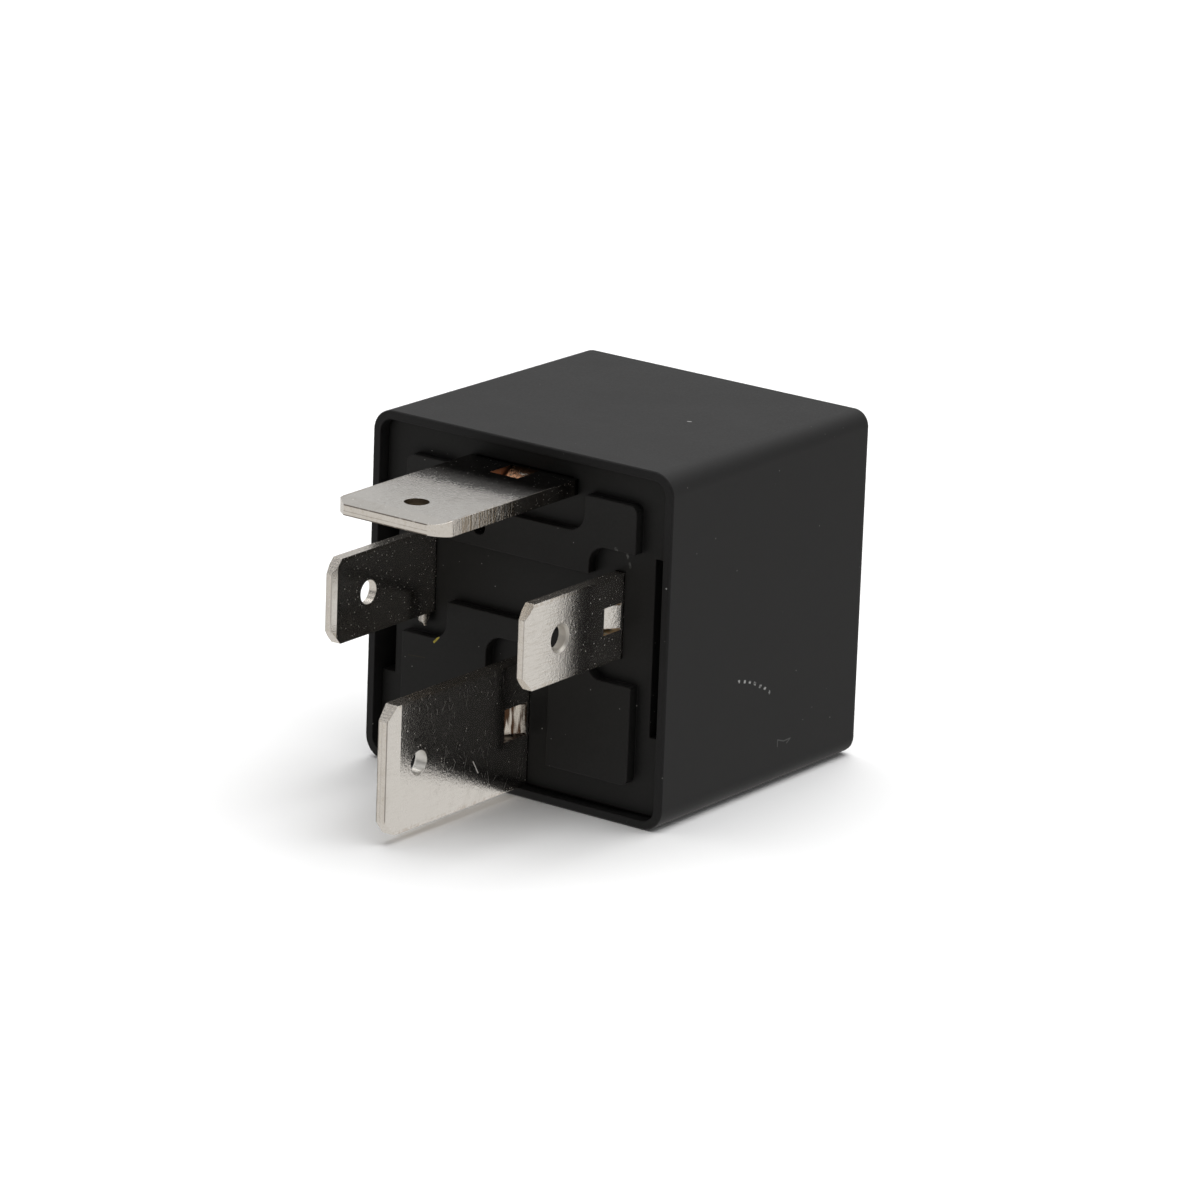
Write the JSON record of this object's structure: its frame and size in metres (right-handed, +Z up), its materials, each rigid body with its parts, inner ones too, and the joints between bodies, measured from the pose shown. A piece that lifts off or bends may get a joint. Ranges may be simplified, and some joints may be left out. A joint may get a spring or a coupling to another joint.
{
  "type": "relay",
  "caption": "Automotive plug-in relay: black moulded case open to a recessed base plate with upright and flat metal blade terminals, and a hinged-armature magnet inside.",
  "frame": {"origin": "middle of the underside of the part's bounding box, as the relay lies on one side of its case", "axes": "+X across the terminal face, +Y from the terminals into the case, +Z up"},
  "size_m": [0.0266, 0.04, 0.0264],
  "materials": {
    "housing_cover": "black moulded plastic with fine grain, light scuffs and dust",
    "base_plate": "black moulded plastic, smooth",
    "terminal_30": "tin-plated brass, scratched and tarnished",
    "terminal_87": "tin-plated brass, scuffed near the root",
    "terminal_85": "tin-plated brass",
    "terminal_86": "tin-plated brass, tarnished",
    "coil_bobbin": "natural glass-filled nylon",
    "coil_winding": "enamelled copper wire",
    "winding_tape": "yellow polyester tape",
    "magnet_core": "zinc-plated soft iron",
    "yoke": "zinc-plated soft iron",
    "terminal_rivets": "plated steel",
    "fixed_contact": "silver alloy",
    "stop_bracket": "plated steel strip",
    "yoke_rivets": "plated steel",
    "armature": "zinc-plated soft iron",
    "contact_spring": "spring bronze strip",
    "armature_rivets": "plated steel",
    "moving_contact": "silver alloy",
    "copper_braid": "bare flexible copper braid",
    "suppression_resistor": "resistor with a lacquered ceramic body",
    "resistor_leads": "tinned copper wire",
    "coil_start_wire": "enamelled copper wire",
    "coil_end_wire": "enamelled copper wire"
  },
  "bodies": {
    "relay_frame": {"housing_cover": "housing_cover", "base_plate": "base_plate", "terminal_30": "terminal_30", "terminal_87": "terminal_87", "terminal_85": "terminal_85", "terminal_86": "terminal_86", "coil_bobbin": "coil_bobbin", "coil_winding": "coil_winding", "winding_tape": "winding_tape", "magnet_core": "magnet_core", "yoke": "yoke", "terminal_rivets": "terminal_rivets", "fixed_contact": "fixed_contact", "stop_bracket": "stop_bracket", "yoke_rivets": "yoke_rivets", "copper_braid": "copper_braid", "suppression_resistor": "suppression_resistor", "resistor_leads": "resistor_leads", "coil_start_wire": "coil_start_wire", "coil_end_wire": "coil_end_wire"},
    "armature_group": {"armature": "armature", "armature_rivets": "armature_rivets", "moving_contact": "moving_contact", "contact_spring": "contact_spring"}
  },
  "joints": [
    {"name": "armature_hinge", "type": "hinge", "parent": "relay_frame", "child": "armature_group", "pos_m": [0, 0.013, 0.00465], "axis": [1, 0, 0], "range_deg": [0, 3], "stiffness_Nm_per_rad": 0.012, "springref_deg": -22.92, "deforming": ["contact_spring", "copper_braid"]}
  ]
}
